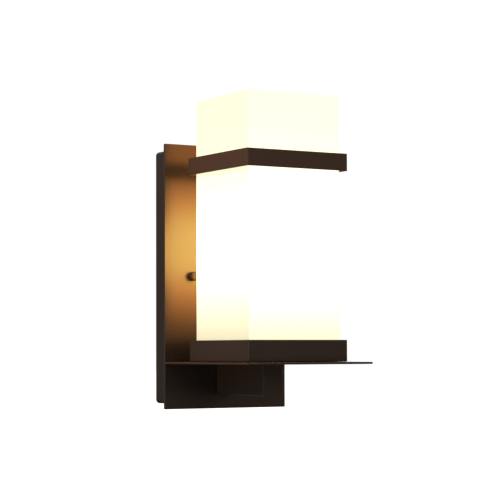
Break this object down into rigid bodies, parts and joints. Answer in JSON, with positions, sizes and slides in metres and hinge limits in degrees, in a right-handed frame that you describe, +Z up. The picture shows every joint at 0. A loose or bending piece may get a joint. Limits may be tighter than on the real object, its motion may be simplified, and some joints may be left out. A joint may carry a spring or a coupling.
{
  "type": "outdoor wall lantern",
  "caption": "Square outdoor wall lantern: an opal glass shade in a tray on a cantilevered shelf, banded near the top, on a flat backplate with a wall pan behind it.",
  "frame": {"origin": "middle of the mounting bracket's back face, which bears on the wall box; the middle of the backplate in width and height", "axes": "+X along the wall, +Y into the wall so that the lantern stands out towards -Y, +Z up"},
  "size_m": [0.138, 0.1883, 0.2997],
  "materials": {
    "bronze": "satin dark bronze powder coat",
    "opal_glass": "satin opal glass",
    "zinc": "zinc plated",
    "brass": "plain",
    "nickel": "nickel plated",
    "porcelain": "glazed white",
    "foam": "closed-cell foam",
    "silicone": "translucent silicone",
    "nylon": "natural nylon",
    "black_plastic": "black",
    "white_plastic": "white",
    "bulb_diffuser": "frosted, lit warm",
    "black_wire": "insulated wire",
    "white_wire": "insulated wire",
    "green_wire": "insulated wire",
    "green_paint": "green plated"
  },
  "bodies": {
    "fixture": {"arm": "bronze", "arm_screw_lower": "zinc", "arm_screw_upper": "zinc", "backplate": "bronze", "band_bumper_back": "silicone", "band_bumper_front": "silicone", "band_bumper_left": "silicone", "band_bumper_right": "silicone", "band_screw_left": "zinc", "band_screw_right": "zinc", "band_spacer_left": "bronze", "band_spacer_right": "bronze", "cap_nut_left": "bronze", "cap_nut_right": "bronze", "earth_screw": "green_paint", "glass_gasket": "silicone", "glass_tray": "bronze", "ground_screw": "green_paint", "lampholder_body": "porcelain", "lampholder_contact": "brass", "lampholder_foot": "zinc", "lampholder_screw_left": "zinc", "lampholder_screw_right": "zinc", "lampholder_shell": "brass", "lead_earth": "green_wire", "lead_line": "black_wire", "lead_neutral": "white_wire", "mounting_bracket": "zinc", "nipple": "zinc", "nipple_nut": "zinc", "nipple_washer": "zinc", "shelf": "bronze", "spacer_screw_left": "zinc", "spacer_screw_right": "zinc", "stud_left": "zinc", "stud_nut_left": "zinc", "stud_nut_right": "zinc", "stud_right": "zinc", "terminal_block": "nylon", "terminal_insert_1": "brass", "terminal_insert_2": "brass", "terminal_insert_3": "brass", "terminal_screw_1a": "zinc", "terminal_screw_1b": "zinc", "terminal_screw_2a": "zinc", "terminal_screw_2b": "zinc", "terminal_screw_3a": "zinc", "terminal_screw_3b": "zinc", "upper_band": "bronze", "wall_foam_seal": "foam", "wall_pan": "bronze", "wire_bushing": "black_plastic"},
    "shade": {"glass_shade": "opal_glass"},
    "bulb": {"bulb_contact": "nickel", "bulb_insulator": "black_plastic", "bulb_screw_cap": "nickel", "bulb_body": "white_plastic", "bulb_diffuser": "bulb_diffuser"}
  },
  "joints": [
    {"name": "shade_lift", "type": "slide", "parent": "fixture", "child": "shade", "axis": [0, 0, 1], "range_m": [0, 0.22]},
    {"name": "bulb_lift", "type": "slide", "parent": "fixture", "child": "bulb", "axis": [0, 0, 1], "range_m": [0, 0.06]}
  ]
}
